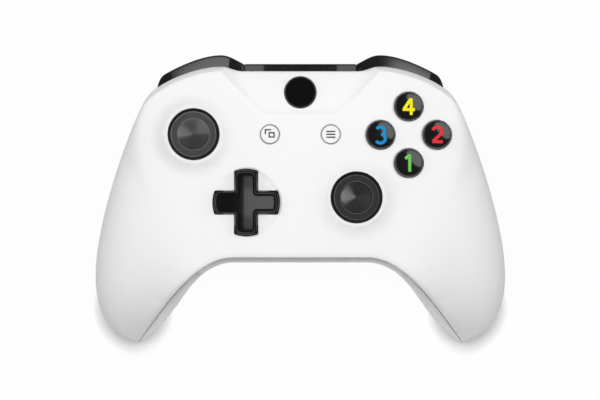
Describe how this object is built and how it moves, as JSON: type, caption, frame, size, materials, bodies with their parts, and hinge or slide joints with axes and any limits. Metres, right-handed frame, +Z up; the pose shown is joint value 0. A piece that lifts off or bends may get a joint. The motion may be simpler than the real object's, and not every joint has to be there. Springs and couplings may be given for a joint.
{
  "type": "gamepad controller",
  "caption": "White two-handed gamepad with grips, offset thumbsticks, cross pad, face buttons, bumpers and sprung triggers, opened up into its working pieces.",
  "frame": {"origin": "on the table, under the middle of the controller's box as it lies on its back", "axes": "+X to the right along the width, +Y away from the player towards the bumpers, +Z up"},
  "size_m": [0.153, 0.1031, 0.0611],
  "materials": {
    "shell_white": "fine satin moulding",
    "gloss_black": "gloss",
    "trigger_black": "satin",
    "button_black": "polished",
    "stick_rubber": "satin",
    "button_white": "satin",
    "board_green": "solder mask",
    "frame_plastic": "moulded",
    "silicone": "soft",
    "steel": "bare",
    "weight_metal": "sintered",
    "gimbal_plastic": "moulded",
    "cell_wrap": "printed sleeve"
  },
  "bodies": {
    "housing": {"front_shell": "shell_white", "rear_shell": "shell_white", "left_grip_cover": "shell_white", "right_grip_cover": "shell_white", "top_bridge": "gloss_black", "main_board": "board_green", "power_board": "board_green", "mid_frame": "frame_plastic", "board_header": "frame_plastic", "bumper_switches": "frame_plastic", "headset_socket": "frame_plastic", "accessory_socket": "frame_plastic", "dpad_base": "frame_plastic", "button_pad": "silicone", "menu_pad": "silicone", "left_trigger_pin": "steel", "right_trigger_pin": "steel", "left_trigger_spring": "steel", "right_trigger_spring": "steel", "left_stick_case": "steel", "right_stick_case": "steel", "frame_screws": "steel", "usb_socket": "steel", "left_rumble_motor": "steel", "right_rumble_motor": "steel", "battery_contacts": "steel", "battery_cells": "cell_wrap"},
    "upper_button": {"upper_button": "button_black"},
    "left_button": {"left_button": "button_black"},
    "right_button": {"right_button": "button_black"},
    "lower_button": {"lower_button": "button_black"},
    "guide_button": {"guide_button": "gloss_black"},
    "view_button": {"view_button": "button_white"},
    "menu_button": {"menu_button": "button_white"},
    "sync_button": {"sync_button": "gloss_black"},
    "dpad_rocker": {"dpad_rocker": "steel"},
    "dpad": {"dpad": "gloss_black"},
    "battery_door": {"battery_door": "shell_white"},
    "left_stick_yoke": {"left_stick_yoke": "gimbal_plastic"},
    "left_stick_shaft": {"left_stick_shaft": "gimbal_plastic"},
    "left_thumbstick": {"left_thumbstick": "stick_rubber"},
    "left_bumper": {"left_bumper": "gloss_black"},
    "left_trigger": {"left_trigger": "trigger_black", "left_trigger_motor": "steel"},
    "left_trigger_weight": {"left_trigger_weight": "weight_metal"},
    "left_rumble_weight": {"left_rumble_weight": "weight_metal"},
    "right_stick_yoke": {"right_stick_yoke": "gimbal_plastic"},
    "right_stick_shaft": {"right_stick_shaft": "gimbal_plastic"},
    "right_thumbstick": {"right_thumbstick": "stick_rubber"},
    "right_bumper": {"right_bumper": "gloss_black"},
    "right_trigger": {"right_trigger": "trigger_black", "right_trigger_motor": "steel"},
    "right_trigger_weight": {"right_trigger_weight": "weight_metal"},
    "right_rumble_weight": {"right_rumble_weight": "weight_metal"}
  },
  "joints": [
    {"name": "upper_button_press", "type": "slide", "parent": "housing", "child": "upper_button", "axis": [0, 0.2079, -0.9781], "range_m": [0, 0.0012], "stiffness_N_per_m": 300, "springref_m": -0.001, "deforming": ["button_pad"]},
    {"name": "left_button_press", "type": "slide", "parent": "housing", "child": "left_button", "axis": [0, 0.2079, -0.9781], "range_m": [0, 0.0012], "stiffness_N_per_m": 300, "springref_m": -0.001, "deforming": ["button_pad"]},
    {"name": "right_button_press", "type": "slide", "parent": "housing", "child": "right_button", "axis": [0, 0.2079, -0.9781], "range_m": [0, 0.0012], "stiffness_N_per_m": 300, "springref_m": -0.001, "deforming": ["button_pad"]},
    {"name": "lower_button_press", "type": "slide", "parent": "housing", "child": "lower_button", "axis": [0, 0.2079, -0.9781], "range_m": [0, 0.0012], "stiffness_N_per_m": 300, "springref_m": -0.001, "deforming": ["button_pad"]},
    {"name": "view_button_press", "type": "slide", "parent": "housing", "child": "view_button", "axis": [0, 0.2079, -0.9781], "range_m": [0, 0.0006], "stiffness_N_per_m": 300, "springref_m": -0.001, "deforming": ["menu_pad"]},
    {"name": "menu_button_press", "type": "slide", "parent": "housing", "child": "menu_button", "axis": [0, 0.2079, -0.9781], "range_m": [0, 0.0006], "stiffness_N_per_m": 300, "springref_m": -0.001, "deforming": ["menu_pad"]},
    {"name": "guide_button_press", "type": "slide", "parent": "housing", "child": "guide_button", "axis": [0, 0.2079, -0.9781], "range_m": [0, 0.0005], "stiffness_N_per_m": 300, "springref_m": -0.001},
    {"name": "sync_button_press", "type": "slide", "parent": "housing", "child": "sync_button", "axis": [0, -0.9781, -0.2079], "range_m": [0, 0.0005], "stiffness_N_per_m": 300, "springref_m": -0.001},
    {"name": "dpad_pitch", "type": "hinge", "parent": "housing", "child": "dpad_rocker", "pos_m": [-0.0201, -0.00677, 0.04184], "axis": [1, 0, 0], "range_deg": [-3.5, 3.5], "stiffness_Nm_per_rad": 0.12},
    {"name": "dpad_roll", "type": "hinge", "parent": "dpad_rocker", "child": "dpad", "pos_m": [-0.0201, -0.00677, 0.04184], "axis": [0, 0.9781, 0.2079], "range_deg": [-3.5, 3.5], "stiffness_Nm_per_rad": 0.12},
    {"name": "left_stick_pitch", "type": "hinge", "parent": "housing", "child": "left_stick_yoke", "pos_m": [-0.0395, 0.01933, 0.04074], "axis": [1, 0, 0], "range_deg": [-16, 16], "stiffness_Nm_per_rad": 0.04},
    {"name": "left_stick_roll", "type": "hinge", "parent": "left_stick_yoke", "child": "left_stick_shaft", "pos_m": [-0.0395, 0.01933, 0.04074], "axis": [0, 0.9781, 0.2079], "range_deg": [-16, 16], "stiffness_Nm_per_rad": 0.04},
    {"name": "left_stick_click", "type": "slide", "parent": "left_stick_shaft", "child": "left_thumbstick", "axis": [0, 0.2079, -0.9781], "range_m": [0, 0.0005], "stiffness_N_per_m": 600, "springref_m": -0.003},
    {"name": "left_bumper_press", "type": "hinge", "parent": "housing", "child": "left_bumper", "pos_m": [-0.0226, 0.04344, 0.04229], "axis": [0, -0.2079, 0.9781], "range_deg": [0, 2.2], "stiffness_Nm_per_rad": 0.15, "springref_deg": -5.73},
    {"name": "left_trigger_pull", "type": "hinge", "parent": "housing", "child": "left_trigger", "pos_m": [-0.036, 0.03682, 0.03301], "axis": [-1, 0, 0], "range_deg": [0, 14], "stiffness_Nm_per_rad": 0.08, "springref_deg": -25.78, "deforming": ["left_trigger_spring"]},
    {"name": "left_trigger_weight_spin", "type": "hinge", "parent": "left_trigger", "child": "left_trigger_weight", "pos_m": [-0.036, 0.04139, 0.02549], "axis": [1, 0, 0], "continuous": true},
    {"name": "left_rumble_weight_spin", "type": "hinge", "parent": "housing", "child": "left_rumble_weight", "pos_m": [-0.06, -0.01758, 0.01961], "axis": [0, 0.9781, 0.2079], "continuous": true},
    {"name": "right_stick_pitch", "type": "hinge", "parent": "housing", "child": "right_stick_yoke", "pos_m": [0.0208, -0.00356, 0.03588], "axis": [1, 0, 0], "range_deg": [-16, 16], "stiffness_Nm_per_rad": 0.04},
    {"name": "right_stick_roll", "type": "hinge", "parent": "right_stick_yoke", "child": "right_stick_shaft", "pos_m": [0.0208, -0.00356, 0.03588], "axis": [0, 0.9781, 0.2079], "range_deg": [-16, 16], "stiffness_Nm_per_rad": 0.04},
    {"name": "right_stick_click", "type": "slide", "parent": "right_stick_shaft", "child": "right_thumbstick", "axis": [0, 0.2079, -0.9781], "range_m": [0, 0.0005], "stiffness_N_per_m": 600, "springref_m": -0.003},
    {"name": "right_bumper_press", "type": "hinge", "parent": "housing", "child": "right_bumper", "pos_m": [0.0226, 0.04344, 0.04229], "axis": [0, 0.2079, -0.9781], "range_deg": [0, 2.2], "stiffness_Nm_per_rad": 0.15, "springref_deg": -5.73},
    {"name": "right_trigger_pull", "type": "hinge", "parent": "housing", "child": "right_trigger", "pos_m": [0.036, 0.03682, 0.03301], "axis": [-1, 0, 0], "range_deg": [0, 14], "stiffness_Nm_per_rad": 0.08, "springref_deg": -25.78, "deforming": ["right_trigger_spring"]},
    {"name": "right_trigger_weight_spin", "type": "hinge", "parent": "right_trigger", "child": "right_trigger_weight", "pos_m": [0.036, 0.04139, 0.02549], "axis": [1, 0, 0], "continuous": true},
    {"name": "right_rumble_weight_spin", "type": "hinge", "parent": "housing", "child": "right_rumble_weight", "pos_m": [0.06, -0.01758, 0.01961], "axis": [0, 0.9781, 0.2079], "continuous": true},
    {"name": "battery_door_lift", "type": "slide", "parent": "housing", "child": "battery_door", "axis": [0, 0.2079, -0.9781], "range_m": [0, 0.02]}
  ]
}
